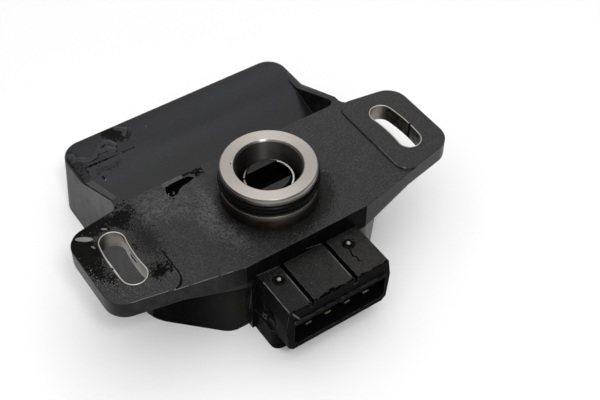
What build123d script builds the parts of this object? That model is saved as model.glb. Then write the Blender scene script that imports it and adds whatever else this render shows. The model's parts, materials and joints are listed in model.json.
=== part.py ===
"""Throttle position sensor: moulded flange housing, steel collar, slotted rotor and wiper over a track plate.

Millimetres, +Z up along the collar. The origin lies on the rotor axis at the level of the two ear pads.
+X runs to the right ear, +Y to the rectangular lobe and -Y to the plug shroud.
"""
import os
from math import cos, radians, sin, tan
from build123d import *

# Flange and ears
slot_spacing = 71.0
ear_shift = 1.2
ear_width = 21.2
ear_reach = 7.7
ear_thickness = 4.2
ear_corner = 5.0
pad_reach = 7.8
pad_step = 0.35
pad_corner = 3.2
flange_front = 15.0
flange_rear = 15.1
front_flat = 30.6
rear_taper = 9.3
gusset_start = 29.0
gusset_drop = 2.8
web_radius = 2.2

# Slots curved round the rotor axis, and their bushes
slot_middle = 1.7
slot_sweep = 16.1
bush_width = 5.9
bush_wall = 0.3
bush_proud = 0.08
bush_seam = 0.5
seam_front = 0.4

# Housing body and lobe
base_depth = 23.0
body_half = 31.2
body_rear = 44.85
body_front = 12.75
body_cut = 13.0
rear_corner = 6.0
front_corner = 5.0
side_corner = 9.0
wall = 2.2
draft = 4.0
land_depth = 6.8
land_edge = 0.8
crease_y = 34.8
rib_head = 17.0
rib_foot = 30.4
rib_inner = 28.0
pocket_corner = 1.6
pocket_crown = 0.5
ceiling_depth = 4.6

# Plug shroud
shroud_front = 26.7
shroud_top_half = 12.65
shroud_mid_half = 13.35
shroud_low_half = 12.75
shroud_top = 5.2
shroud_mid = 10.0
shroud_bottom = 18.2
shroud_bevel = 1.1
socket_wall = 0.9
socket_shift = 0.45
socket_top = 9.8
socket_base = 1.3
socket_end = 15.5
socket_corner = 1.3
key_slot_left = 6.85
key_slot_right = 4.15
key_slot_width = 1.0
key_slot_depth = 1.8
block_shelf = 0.8
pip_left = 9.35
pip_right = 8.45
pip_back = 3.0
pip_radius = 0.8
pip_recess = 1.7
latch_back = 6.4
latch_depth = 11.9
latch_length = 4.2
latch_height = 4.4
latch_sink = 0.7
nib_proud = 0.6
root_half = 13.2
root_front = 22.3
root_corner = 2.0
root_rib = 1.8
neck_half = 13.9
neck_front = 14.2

# Terminals
terminal_pitch = 5.0
terminal_shift = 0.78
blade_drop = 4.5
blade_width = 2.8
blade_thickness = 0.8
blade_inset = 1.5
blade_point = 1.4
tail_width = 1.2
tail_inset = 4.25
tail_end = 0.5

# Collar, sealing ring and shaft seal
collar_radius = 10.6
collar_height = 8.4
collar_chamfer = 0.3
collar_chamfer_height = 0.6
collar_bore = 7.15
bore_chamfer = 0.45
groove_low = 3.2
groove_width = 3.5
groove_radius = 8.5
ring_section = 2.5
ring_sides = 12
anchor_radius = 12.4
anchor_top = 2.2
anchor_height = 3.0
nose_radius = 9.4
nose_depth = 9.0
seat_depth = 1.0
seal_height = 2.2
seal_wall = 0.6
boss_wall = 1.8

# Rotor and its drive end
journal_radius = 5.5
running_gap = 0.05
jaw_gap = 0.4
jaw_top = 5.2
jaw_foot = 1.0
drive_slot = 5.3
drive_slot_depth = 5.5
clip_top = 4.4
clip_wall = 0.4
clip_split = 0.5
clip_angle = 151.0
washer_thickness = 0.5
washer_rim = 0.4
axial_gap = 0.05
disc_room = 0.6
disc_thickness = 3.0
hub_radius = 6.0
stub_radius = 3.0
pin_radius = 2.0
pin_end = 1.4

# Wiper
sweep = 95.0
arm_lift = 7.4
arm_room = 0.7
arm_clear = 2.0
arm_thickness = 0.8
arm_root_half = 5.6
arm_tip_half = 3.2
push_ring = 0.6
push_ring_rim = 1.8
brush_reach = 6.5
brush_sheet = 0.25
brush_pad = 5.0
brush_gap = 0.1
finger_width = 0.9
finger_pitch = 1.4
finger_count = 4

# Track plate and back cover
plate_lift = 4.0
plate_thickness = 1.0
plate_gap = 0.4
cover_thickness = 2.0
cover_gap = 0.15
rim_lip = 1.1
seal_sheet = 0.4
post_radius = 2.4
post_pin = 1.0
pin_gap = 0.1
stop_radius = 2.0
stop_gap = 0.25
stop_reach = 20.0
post_inset = 5.0
boss_radius = 4.2
boss_gap = 0.6
spring_height = 1.15
spring_sheet = 0.4

# Derived places
slot_x = slot_spacing / 2
ear_end = slot_x + ear_reach
ear_front_y = ear_shift - ear_width / 2
ear_rear_y = ear_shift + ear_width / 2
pad_x = slot_x - pad_reach
front_slope = (ear_front_y + flange_front) / (ear_end - front_flat / 2)
rear_slope = tan(radians(rear_taper))
lean = tan(radians(draft))
body_height = base_depth - pad_step
side_top = body_half - body_height * lean
web_y = ear_rear_y + (ear_end - side_top) * rear_slope
plate_depth = base_depth - plate_lift
plate_z = -plate_depth
arm_depth = base_depth - arm_lift
floor_depth = arm_depth - arm_room - wall
brush_z = -arm_depth - arm_thickness
nut_end = arm_depth + arm_thickness + push_ring
boss_depth = nut_end + axial_gap + spring_height
disc_depth = nose_depth + washer_thickness + 2 * axial_gap
disc_radius = body_front - wall - (base_depth - disc_depth) * lean - disc_room
jaw_radius = journal_radius - clip_wall - jaw_gap
socket_half = shroud_top_half - socket_wall
socket_height = shroud_bottom - socket_base - socket_top
socket_depth = shroud_front - socket_end
terminal_depth = socket_top + blade_drop
tail_y = body_front - tail_inset
blade_tip = blade_inset - shroud_front
half_sweep = radians(sweep / 2)
arm_side_room = body_half - wall - arm_lift * lean - arm_clear
arm_tip = (arm_side_room - arm_tip_half * cos(half_sweep)) / sin(half_sweep)
brush_inner = arm_tip - brush_reach
arm_turn = 90 - sweep / 2
arm_dir = (cos(radians(arm_turn)), sin(radians(arm_turn)), 0)
arm_side = Plane(origin=(0, 0, 0), x_dir=arm_dir, z_dir=(arm_dir[1], -arm_dir[0], 0))
terminal_xs = [(i - 1.5) * terminal_pitch + terminal_shift for i in range(4)]
stop_edge = arm_root_half + (arm_tip_half - arm_root_half) * stop_reach / arm_tip
stop_offset = stop_edge + stop_gap + stop_radius
stop_x = stop_reach * sin(half_sweep) + stop_offset * cos(half_sweep)
stop_y = stop_reach * cos(half_sweep) - stop_offset * sin(half_sweep)
post_x = body_half - wall - post_inset
post_y = body_rear - wall - post_inset
support_spots = [(stop_x, stop_y), (-stop_x, stop_y), (post_x, post_y), (-post_x, post_y)]


def body_face(depth, inset):
    """Plan outline of the body at a depth, moved inwards by an inset."""
    half = body_half - inset
    rear = body_rear - inset
    front = body_front - inset
    cut = body_cut - inset * (2 - 2 ** 0.5)
    with BuildSketch(Plane.XY.offset(-depth)) as face:
        with BuildLine():
            Polyline((half, rear), (-half, rear), (-half, cut - front), (cut - half, -front),
                     (half - cut, -front), (half, cut - front), close=True)
        make_face()
        fillet(face.vertices().group_by(Axis.Y)[-1], rear_corner - inset)
        fillet(face.vertices().group_by(Axis.Y)[0], front_corner)
        sides = face.vertices().filter_by_position(Axis.Y, cut - front - 0.01, cut - front + 0.01)
        fillet(sides, side_corner)
    return face.sketch


# Hollow inside the housing
with BuildPart() as cavity:
    add(body_face(base_depth, wall))
    extrude(amount=base_depth - ceiling_depth, taper=draft)
    with BuildSketch(Plane.YZ):
        with BuildLine():
            Polyline((-body_front, -base_depth), (body_rear, -base_depth), (body_rear, -land_depth - wall),
                     (crease_y, -land_depth - wall), (flange_rear - wall, -floor_depth - wall),
                     (flange_rear - wall, -ceiling_depth), (-body_front, -ceiling_depth), close=True)
        make_face()
    extrude(amount=body_half, both=True, mode=Mode.INTERSECT)

# Scooped pocket between the two side ribs
with BuildPart() as pocket:
    with BuildSketch(Plane.YZ):
        with BuildLine():
            Polyline((crease_y, -land_depth), (crease_y, pad_step), (flange_rear, pad_step),
                     (flange_rear, -floor_depth))
            ThreePointArc((flange_rear, -floor_depth),
                          ((flange_rear + crease_y) / 2, -(floor_depth + land_depth) / 2 + pocket_crown),
                          (crease_y, -land_depth))
        make_face()
    extrude(amount=rib_inner, both=True)
    fillet(pocket.edges().filter_by(Axis.Z).group_by(Axis.Y)[0], pocket_corner)

# Centre line of the right screw slot
with BuildLine() as slot_path:
    CenterArc((0, 0), slot_x, slot_middle - slot_sweep / 2, slot_sweep)

# Moulded housing
with BuildPart() as housing:
    # flange plate with its deepened front corners
    with BuildSketch(Plane.XY.offset(-ear_thickness - gusset_drop)) as plan:
        with BuildLine():
            Polyline((front_flat / 2, -flange_front), (ear_end, ear_front_y), (ear_end, ear_rear_y),
                     (side_top, web_y), (side_top, rib_head), (-side_top, rib_head), (-side_top, web_y),
                     (-ear_end, ear_rear_y), (-ear_end, ear_front_y), (-front_flat / 2, -flange_front),
                     close=True)
        make_face()
        fillet(plan.vertices().group_by(Axis.X)[-1] + plan.vertices().group_by(Axis.X)[0], ear_corner)
        fillet(plan.vertices().filter_by_position(Axis.Y, web_y - 0.01, web_y + 0.01), web_radius)
    extrude(amount=ear_thickness + gusset_drop - pad_step)
    with BuildSketch(Plane.XZ):
        with BuildLine():
            Polyline((ear_end, 0), (-ear_end, 0), (-ear_end, -ear_thickness), (-gusset_start, -ear_thickness),
                     (-front_flat / 2, -ear_thickness - gusset_drop),
                     (front_flat / 2, -ear_thickness - gusset_drop), (gusset_start, -ear_thickness),
                     (ear_end, -ear_thickness), close=True)
        make_face()
    extrude(amount=body_rear, both=True, mode=Mode.INTERSECT)
    # raised ear pads
    with BuildSketch(Plane.XY.offset(-ear_thickness)) as pads:
        with BuildLine():
            Polyline((pad_x, -flange_front + (pad_x - front_flat / 2) * front_slope), (ear_end, ear_front_y),
                     (ear_end, ear_rear_y), (pad_x, ear_rear_y + (ear_end - pad_x) * rear_slope), close=True)
        make_face()
        fillet(pads.vertices().group_by(Axis.X)[-1], ear_corner)
        fillet(pads.vertices().group_by(Axis.X)[0], pad_corner)
        mirror(about=Plane.YZ)
    extrude(amount=ear_thickness)
    # drafted body and the lobe behind the flange
    add(body_face(base_depth, 0))
    extrude(amount=body_height, taper=draft)
    with BuildSketch(Plane.YZ):
        with BuildLine():
            Polyline((rib_head, -pad_step), (rib_foot, -land_depth), (body_rear + wall, -land_depth),
                     (body_rear + wall, wall), (rib_head, wall), close=True)
        make_face()
    extrude(amount=body_half + wall, both=True, mode=Mode.SUBTRACT)
    rim = housing.edges().filter_by_position(Axis.Z, -land_depth - 0.01, -land_depth + 0.01)
    fillet(rim.filter_by_position(Axis.Y, rib_foot + 0.1, body_rear), land_edge)
    add(pocket.part, mode=Mode.SUBTRACT)
    # plug shroud with its neck and the root block below
    with BuildSketch(Plane.XZ.offset(neck_front - wall)):
        with BuildLine():
            Polyline((shroud_top_half, -shroud_top), (shroud_mid_half, -shroud_mid),
                     (shroud_low_half, -shroud_bottom + shroud_bevel),
                     (shroud_low_half - shroud_bevel, -shroud_bottom),
                     (shroud_bevel - shroud_low_half, -shroud_bottom),
                     (-shroud_low_half, -shroud_bottom + shroud_bevel), (-shroud_mid_half, -shroud_mid),
                     (-shroud_top_half, -shroud_top), close=True)
        make_face()
    extrude(amount=shroud_front - neck_front + wall)
    with BuildSketch(Plane.XY.offset(-base_depth)) as root:
        with Locations((0, -(root_front + body_front - wall) / 2)):
            Rectangle(2 * root_half, root_front - body_front + wall)
        fillet(root.vertices().group_by(Axis.Y)[0], root_corner)
        with Locations((0, -(neck_front + body_front - wall) / 2)):
            Rectangle(2 * neck_half, neck_front - body_front + wall)
    extrude(amount=base_depth - shroud_bottom + shroud_bevel)
    with BuildSketch(Plane.XY.offset(-shroud_bottom)):
        with Locations((0, -(neck_front + body_front - wall) / 2)):
            Rectangle(2 * neck_half, neck_front - body_front + wall)
    extrude(amount=shroud_bottom - shroud_top)
    # socket, key slots and shelf on the shroud
    with BuildSketch(Plane.XZ.offset(shroud_front)) as socket:
        with Locations((socket_shift, -socket_top - socket_height / 2)):
            RectangleRounded(2 * socket_half, socket_height, socket_corner)
    extrude(amount=-socket_depth, mode=Mode.SUBTRACT)
    with BuildSketch(Plane.XY.offset(-shroud_top)):
        with Locations((-key_slot_left, -(flange_front + shroud_front) / 2),
                       (key_slot_right, -(flange_front + shroud_front) / 2)):
            Rectangle(key_slot_width, shroud_front - flange_front)
    extrude(amount=-key_slot_depth, mode=Mode.SUBTRACT)
    with BuildSketch(Plane.XZ.offset(shroud_front)):
        with Locations((socket_shift, -socket_top + block_shelf / 2)):
            Rectangle(2 * socket_half, block_shelf)
    extrude(amount=block_shelf / 2)
    # pips in shallow round recesses on the shroud top
    pip_spots = [(-pip_left, -flange_front - pip_back), (pip_right, -flange_front - pip_back)]
    with BuildSketch(Plane.XY.offset(-shroud_top)):
        with Locations(*pip_spots):
            Circle(pip_recess)
    extrude(amount=-pip_radius / 2, mode=Mode.SUBTRACT)
    with Locations(*[(x, y, -shroud_top - pip_radius / 2) for x, y in pip_spots]):
        Sphere(pip_radius)
    # latch recess and nib on both sides of the shroud
    latch_y = latch_back - shroud_front
    for side in (1, -1):
        with BuildSketch(Plane.YZ.offset(side * (shroud_mid_half - latch_sink))):
            with Locations((latch_y, -latch_depth)):
                Rectangle(latch_length, latch_height)
        extrude(amount=side * latch_sink * 2, mode=Mode.SUBTRACT)
        with BuildSketch(Plane.XZ.offset(-latch_y - latch_length / 2)):
            with BuildLine():
                Polyline((side * (shroud_mid_half - 2 * latch_sink), -latch_depth),
                         (side * (shroud_mid_half + nib_proud), -latch_depth - latch_height / 3),
                         (side * (shroud_mid_half + nib_proud), -latch_depth - latch_height / 2),
                         (side * (shroud_mid_half - 2 * latch_sink), -latch_depth - latch_height / 2),
                         close=True)
            make_face()
        extrude(amount=latch_length / 3)
    # cavity, collar boss and the posts that carry the plate and stop the arm
    add(cavity.part, mode=Mode.SUBTRACT)
    with BuildSketch(Plane.XY.offset(-ceiling_depth + wall / 2)):
        Circle(anchor_radius + boss_wall)
    extrude(amount=-(anchor_top + anchor_height + boss_wall - ceiling_depth + wall / 2))
    with BuildSketch(Plane.XY.offset(plate_z)):
        with Locations((stop_x, stop_y), (-stop_x, stop_y)):
            Circle(stop_radius)
    extrude(amount=plate_depth - ceiling_depth + wall / 2)
    with BuildSketch(Plane.XY.offset(plate_z)):
        with Locations((post_x, post_y), (-post_x, post_y)):
            Circle(post_radius)
    extrude(amount=plate_depth - land_depth - wall / 2)
    with BuildSketch(Plane.XY.offset(plate_z - plate_thickness)):
        with Locations(*support_spots):
            Circle(post_pin)
    extrude(amount=plate_thickness + wall)
    # recess for the cover, and the cored root block
    add(body_face(base_depth, rim_lip))
    extrude(amount=cover_thickness + seal_sheet, mode=Mode.SUBTRACT)
    core_width = (2 * root_half - 4 * root_rib) / 3
    with BuildSketch(Plane.XY.offset(-base_depth)):
        with Locations((0, -(root_front + neck_front) / 2)):
            with GridLocations(core_width + root_rib, 1, 3, 1):
                Rectangle(core_width, root_front - neck_front - 2 * root_rib)
    extrude(amount=base_depth - shroud_bottom, mode=Mode.SUBTRACT)
    # seats for the collar, the bushes and the terminals
    with BuildSketch(Plane.XZ):
        with BuildLine():
            Polyline((0, 0), (collar_radius, 0), (collar_radius, -anchor_top), (anchor_radius, -anchor_top),
                     (anchor_radius, -anchor_top - anchor_height), (nose_radius, -anchor_top - anchor_height),
                     (nose_radius, -nose_depth), (0, -nose_depth), close=True)
        make_face()
    revolve(axis=Axis.Z, mode=Mode.SUBTRACT)
    with BuildSketch(Plane.XY):
        SlotArc(slot_path.edge(), bush_width)
        mirror(about=Plane.YZ)
    extrude(amount=-ear_thickness, mode=Mode.SUBTRACT)
    with BuildSketch(Plane.XZ.offset(shroud_front)):
        with Locations(*[(x, -terminal_depth) for x in terminal_xs]):
            Rectangle(blade_width, blade_thickness)
    extrude(amount=-(shroud_front - body_front + 2 * wall), mode=Mode.SUBTRACT)

# Turned steel collar
with BuildPart() as bearing_collar:
    with BuildSketch(Plane.XZ):
        with BuildLine():
            Polyline((collar_bore, collar_height - bore_chamfer), (collar_bore + bore_chamfer, collar_height),
                     (collar_radius - collar_chamfer, collar_height),
                     (collar_radius, collar_height - collar_chamfer_height),
                     (collar_radius, groove_low + groove_width),
                     (groove_radius, groove_low + groove_width), (groove_radius, groove_low),
                     (collar_radius, groove_low), (collar_radius, -anchor_top), (anchor_radius, -anchor_top),
                     (anchor_radius, -anchor_top - anchor_height), (nose_radius, -anchor_top - anchor_height),
                     (nose_radius, -nose_depth), (journal_radius + running_gap, -nose_depth),
                     (journal_radius + running_gap, -seat_depth), (collar_bore, -seat_depth), close=True)
        make_face()
    revolve(axis=Axis.Z)

# Rubber sealing ring in the collar groove
with BuildPart() as o_ring:
    with BuildSketch(Plane.XZ):
        with Locations((groove_radius + ring_section / 2, groove_low + groove_width / 2)):
            RegularPolygon(ring_section / 2, ring_sides)
    revolve(axis=Axis.Z)

# Lip seal round the rotor journal
with BuildPart() as shaft_seal:
    with BuildSketch(Plane.XZ):
        with BuildLine():
            Polyline((collar_bore, -seat_depth), (collar_bore, seal_height - seat_depth),
                     (collar_bore - seal_wall, seal_height - seat_depth),
                     (collar_bore - seal_wall, -seat_depth + seal_height / 3),
                     (journal_radius + running_gap, -seat_depth + seal_height / 2),
                     (journal_radius + running_gap, -seat_depth), close=True)
        make_face()
    revolve(axis=Axis.Z)

# Rolled bushes in the ear slots
with BuildPart() as slot_bush_right:
    with BuildSketch(Plane.XY.offset(bush_proud)):
        SlotArc(slot_path.edge(), bush_width)
        SlotArc(slot_path.edge(), bush_width - 2 * bush_wall, mode=Mode.SUBTRACT)
        with Locations((slot_x + bush_width / 2, -seam_front)):
            Rectangle(bush_width / 2, bush_seam, mode=Mode.SUBTRACT)
    extrude(amount=-ear_thickness - bush_proud)

with BuildPart() as slot_bush_left:
    add(slot_bush_right.part)
    mirror(about=Plane.YZ, mode=Mode.REPLACE)

# Slotted rotor
with BuildPart() as rotor:
    with BuildSketch(Plane.XZ):
        with BuildLine():
            Polyline((0, jaw_top), (jaw_radius, jaw_top), (jaw_radius, jaw_foot), (journal_radius, jaw_foot),
                     (journal_radius, -disc_depth), (disc_radius, -disc_depth),
                     (disc_radius, -disc_depth - disc_thickness), (hub_radius, -disc_depth - disc_thickness),
                     (hub_radius, -arm_depth), (stub_radius, -arm_depth), (stub_radius, -nut_end),
                     (pin_radius, -nut_end), (pin_radius, pin_end - base_depth), (0, pin_end - base_depth),
                     close=True)
        make_face()
    revolve(axis=Axis.Z)
    with BuildSketch(Plane.XY.offset(jaw_top)):
        Rectangle(2 * journal_radius, drive_slot)
    extrude(amount=-(jaw_top - jaw_foot), mode=Mode.SUBTRACT)
    with BuildSketch(Plane.XY.offset(jaw_foot)):
        Circle(jaw_radius)
        Rectangle(2 * jaw_radius, drive_slot, mode=Mode.INTERSECT)
    extrude(amount=-(drive_slot_depth - jaw_top + jaw_foot), mode=Mode.SUBTRACT)

# Split spring ring round the rotor jaws
with BuildPart() as drive_clip:
    with BuildSketch(Plane.XY.offset(jaw_foot)):
        Circle(journal_radius)
        Circle(journal_radius - clip_wall, mode=Mode.SUBTRACT)
        with Locations(Location((0, 0, 0), (0, 0, clip_angle))):
            with Locations((journal_radius, 0)):
                Rectangle(4 * clip_wall, clip_split, mode=Mode.SUBTRACT)
    extrude(amount=clip_top - jaw_foot)

# Thrust washer between collar and rotor disc
with BuildPart() as thrust_washer:
    with BuildSketch(Plane.XY.offset(-nose_depth)):
        Circle(nose_radius - washer_rim)
        Circle(journal_radius + washer_rim, mode=Mode.SUBTRACT)
    extrude(amount=-washer_thickness)

# Stamped wiper arm
with BuildPart() as wiper_arm:
    with BuildSketch(Plane(origin=(0, 0, -arm_depth), x_dir=arm_dir, z_dir=(0, 0, 1))) as arm:
        with BuildLine():
            Polyline((0, arm_root_half), (arm_tip, arm_tip_half), (arm_tip, -arm_tip_half),
                     (0, -arm_root_half), close=True)
        make_face()
        Circle(arm_root_half)
        Circle(stub_radius, mode=Mode.SUBTRACT)
        with Locations((arm_tip / 2, 0)):
            SlotOverall(arm_tip / 3, arm_tip_half, mode=Mode.SUBTRACT)
    extrude(amount=-arm_thickness)

# Push-on ring that holds the arm on the rotor stub
with BuildPart() as push_nut:
    with BuildSketch(Plane.XY.offset(brush_z)):
        Circle(stub_radius + push_ring_rim)
        Circle(stub_radius, mode=Mode.SUBTRACT)
    extrude(amount=-push_ring)

# Multi-finger wiper brush under the arm tip
with BuildPart() as wiper_brush:
    with BuildSketch(Plane(origin=(0, 0, brush_z), x_dir=arm_dir, z_dir=(0, 0, 1))):
        with Locations((arm_tip - brush_pad / 2, 0)):
            Rectangle(brush_pad, 2 * arm_tip_half)
    extrude(amount=-brush_sheet)
    with BuildSketch(arm_side):
        with BuildLine():
            Polyline((arm_tip - brush_pad / 2, brush_z), (arm_tip - brush_pad / 2, brush_z - brush_sheet),
                     (brush_inner, plate_z + brush_gap), (brush_inner - brush_sheet, plate_z + brush_gap),
                     (brush_inner - brush_sheet, plate_z + brush_gap + brush_sheet), close=True)
        make_face()
    extrude(amount=arm_tip_half, both=True)
    with BuildSketch(Plane(origin=(0, 0, brush_z), x_dir=arm_dir, z_dir=(0, 0, 1))):
        with Locations((brush_inner + (arm_tip - brush_pad - brush_inner) / 2, 0)):
            with GridLocations(1, finger_pitch, 1, finger_count + 1):
                Rectangle(arm_tip - brush_pad - brush_inner + 2, finger_pitch - finger_width)
    extrude(amount=-(plate_depth - arm_depth - arm_thickness), mode=Mode.SUBTRACT)

# Resistive track plate
with BuildPart() as track_plate:
    add(body_face(plate_depth + plate_thickness, wall + plate_gap + (base_depth - plate_depth) * lean))
    extrude(amount=plate_thickness)
    with BuildSketch(Plane.XY.offset(plate_z)):
        Circle(boss_radius + boss_gap)
        with Locations(*support_spots):
            Circle(post_pin + pin_gap)
        with Locations(*[(x, -tail_y) for x in terminal_xs]):
            Rectangle(tail_width + 2 * pin_gap, blade_thickness + 2 * pin_gap)
    extrude(amount=-plate_thickness, mode=Mode.SUBTRACT)


def terminal(x):
    """One blade terminal: pointed blade, straight shank and a tail bent down into the plate."""
    with BuildPart() as pin:
        with BuildSketch(Plane.XY.offset(-terminal_depth)):
            with BuildLine():
                Polyline((x - blade_width / 2, -tail_y - wall),
                         (x - blade_width / 2, blade_tip + blade_point),
                         (x - blade_width / 4, blade_tip), (x + blade_width / 4, blade_tip),
                         (x + blade_width / 2, blade_tip + blade_point),
                         (x + blade_width / 2, -tail_y - wall), close=True)
            make_face()
            with Locations((x, -tail_y - wall / 2 + blade_thickness / 4)):
                Rectangle(tail_width, wall + blade_thickness / 2)
        extrude(amount=blade_thickness / 2, both=True)
        with BuildSketch(Plane.XY.offset(-terminal_depth)):
            with Locations((x, -tail_y)):
                Rectangle(tail_width, blade_thickness)
        extrude(amount=-(plate_depth + plate_thickness + tail_end - terminal_depth))
    return pin.part


# Blade terminals
terminals = [terminal(x) for x in terminal_xs]

# Back cover with the pin bearing and the plate pads
with BuildPart() as back_cover:
    add(body_face(base_depth, rim_lip + cover_gap))
    extrude(amount=cover_thickness)
    with BuildSketch(Plane.XY.offset(-base_depth + cover_thickness)):
        with Locations(*support_spots):
            Circle(stop_radius)
    extrude(amount=base_depth - cover_thickness - plate_depth - plate_thickness)
    with BuildSketch(Plane.XY.offset(-base_depth + cover_thickness)):
        Circle(boss_radius)
    extrude(amount=base_depth - cover_thickness - boss_depth)
    with BuildSketch(Plane.XY.offset(-boss_depth)):
        Circle(pin_radius + running_gap)
    extrude(amount=-(base_depth - boss_depth - pin_end + 2 * axial_gap), mode=Mode.SUBTRACT)

# Flat seal under the cover rim
with BuildPart() as cover_seal:
    add(body_face(base_depth - cover_thickness, rim_lip + cover_gap))
    extrude(amount=seal_sheet)
    with BuildSketch(Plane.XY.offset(-base_depth + cover_thickness)):
        add(body_face(0, wall))
    extrude(amount=seal_sheet, mode=Mode.SUBTRACT)

# Conical spring washer that holds the rotor up
with BuildPart() as spring_washer:
    spring_top = -nut_end - axial_gap
    with BuildSketch(Plane.XZ):
        with BuildLine():
            Polyline((boss_radius, -boss_depth), (boss_radius, -boss_depth + spring_sheet),
                     (pin_radius + boss_gap, spring_top), (pin_radius + boss_gap, spring_top - spring_sheet),
                     close=True)
        make_face()
    revolve(axis=Axis.Z)

# Export
os.makedirs("parts", exist_ok=True)
pieces = {
    "housing": housing.part,
    "bearing_collar": bearing_collar.part,
    "o_ring": o_ring.part,
    "shaft_seal": shaft_seal.part,
    "slot_bush_left": slot_bush_left.part,
    "slot_bush_right": slot_bush_right.part,
    "rotor": rotor.part,
    "drive_clip": drive_clip.part,
    "thrust_washer": thrust_washer.part,
    "wiper_arm": wiper_arm.part,
    "push_nut": push_nut.part,
    "wiper_brush": wiper_brush.part,
    "track_plate": track_plate.part,
    "terminal_1": terminals[0],
    "terminal_2": terminals[1],
    "terminal_3": terminals[2],
    "terminal_4": terminals[3],
    "back_cover": back_cover.part,
    "cover_seal": cover_seal.part,
    "spring_washer": spring_washer.part,
}
for name, piece in pieces.items():
    piece.label = name
    export_step(piece, f"parts/{name}.step")
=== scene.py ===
"""Looks of the throttle position sensor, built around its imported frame."""
import json
import math
import random
from functools import reduce
from itertools import product

import bmesh
import bpy
from mathutils import Matrix, Vector, noise
from mathutils.bvhtree import BVHTree

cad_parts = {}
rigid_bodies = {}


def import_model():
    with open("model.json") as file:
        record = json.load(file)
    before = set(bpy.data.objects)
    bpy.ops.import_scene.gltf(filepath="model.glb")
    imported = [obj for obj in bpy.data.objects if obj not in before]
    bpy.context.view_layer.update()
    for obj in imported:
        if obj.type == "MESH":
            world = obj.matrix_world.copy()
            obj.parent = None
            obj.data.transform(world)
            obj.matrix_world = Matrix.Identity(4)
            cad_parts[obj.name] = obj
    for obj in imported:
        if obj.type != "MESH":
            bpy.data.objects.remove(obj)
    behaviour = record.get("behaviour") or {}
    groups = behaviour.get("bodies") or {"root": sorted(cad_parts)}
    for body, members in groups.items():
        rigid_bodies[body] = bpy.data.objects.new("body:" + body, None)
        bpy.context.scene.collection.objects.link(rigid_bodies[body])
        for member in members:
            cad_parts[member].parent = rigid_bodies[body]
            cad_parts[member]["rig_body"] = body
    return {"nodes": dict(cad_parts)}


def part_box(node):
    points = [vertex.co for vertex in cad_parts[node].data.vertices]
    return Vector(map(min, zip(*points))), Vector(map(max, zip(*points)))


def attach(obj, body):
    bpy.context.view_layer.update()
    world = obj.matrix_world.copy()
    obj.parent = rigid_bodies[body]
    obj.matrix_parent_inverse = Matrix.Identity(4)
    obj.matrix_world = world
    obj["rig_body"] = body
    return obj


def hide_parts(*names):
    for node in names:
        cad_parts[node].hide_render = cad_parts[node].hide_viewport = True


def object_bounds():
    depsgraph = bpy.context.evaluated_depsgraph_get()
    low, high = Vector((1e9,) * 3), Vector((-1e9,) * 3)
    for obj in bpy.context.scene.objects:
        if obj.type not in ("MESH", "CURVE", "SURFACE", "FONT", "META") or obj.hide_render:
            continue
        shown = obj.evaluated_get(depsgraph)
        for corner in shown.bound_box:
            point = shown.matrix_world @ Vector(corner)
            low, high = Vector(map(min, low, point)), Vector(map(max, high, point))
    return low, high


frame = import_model()
cad_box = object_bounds()
nodes = frame["nodes"]
MM = 0.001
UP = Vector((0, 0, 1))
BODY = "sensor_body"

# Places on the object are in millimetres, turns in degrees
# Screw slots and their bushes
slot_arc = 35.5
slot_half = 2.95
slot_ends = (-6.35, 9.75)
bush_wall = 0.3
seam_turn = -0.596
seam_half = 0.373

# Collar, sealing ring, clip and rotor
collar_profile = ((7.15, 7.95), (7.6, 8.4), (10.3, 8.4), (10.6, 7.8), (10.6, 6.7), (8.5, 6.7), (8.5, 3.2),
                  (10.6, 3.2), (10.6, -2.2), (12.4, -2.2), (12.4, -5.2), (9.4, -5.2), (9.4, -9.0),
                  (5.55, -9.0), (5.55, -1.0), (7.15, -1.0))
pit_place = (-6.62, 4.61)
pit_radius = 0.24
pit_turns = (11.46, 80.21, 154.7, 223.45, 297.94)
ring_low, ring_high = [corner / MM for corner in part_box("o_ring")]
clip_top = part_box("drive_clip")[1].z / MM
jaw_top = 5.2

# Flange, lobe and left rim
flange_top = -0.35
flange_low = -0.6
flange_under = -5.0
flange_rear = 15.1
lobe_low = -9.5
pad_step_highlight = ((27.85, -2.4), (27.85, -9.2))
sheen_line = ((-26.0, 11.5), (-15.0, 7.0))
rib_edge = ((-29.64, 17.2), (-30.1, 31.4))
rim_edge = ((-30.1, 31.4), (-30.15, 38.0), (-29.7, 40.2))

# Plug block with its pips, rub marks, painted highlight lines and cracks
block_rear = -15.2
block_front = -26.7
block_top = -5.2
block_edges = ((-12.6, -7.4), (-6.3, 3.6), (4.7, 12.6))
pips = ((-9.45, -18.12), (8.29, -18.17))
rubs_top = (((-12.5, -16.9), (-12.5, -26.4)), ((-7.48, -17.5), (-7.48, -26.1)),
            ((3.52, -17.5), (3.52, -25.6)))
ledge_highlights = (((-13.0, -4.62), (-7.5, -5.2)), ((-0.4, -4.1), (3.5, -5.1)))
bar_front = ((-11.9, -5.7), (-10.0, -8.9))
neck_highlight = ((-14.8, -6.5), (-13.1, -17.6))
crack_path = ((7.2, -18.3), (7.55, -19.8), (7.05, -21.35), (7.65, -22.05), (7.4, -23.2), (8.2, -23.5))
step_path = ((-3.3, -19.7), (-3.3, -26.0))


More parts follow.
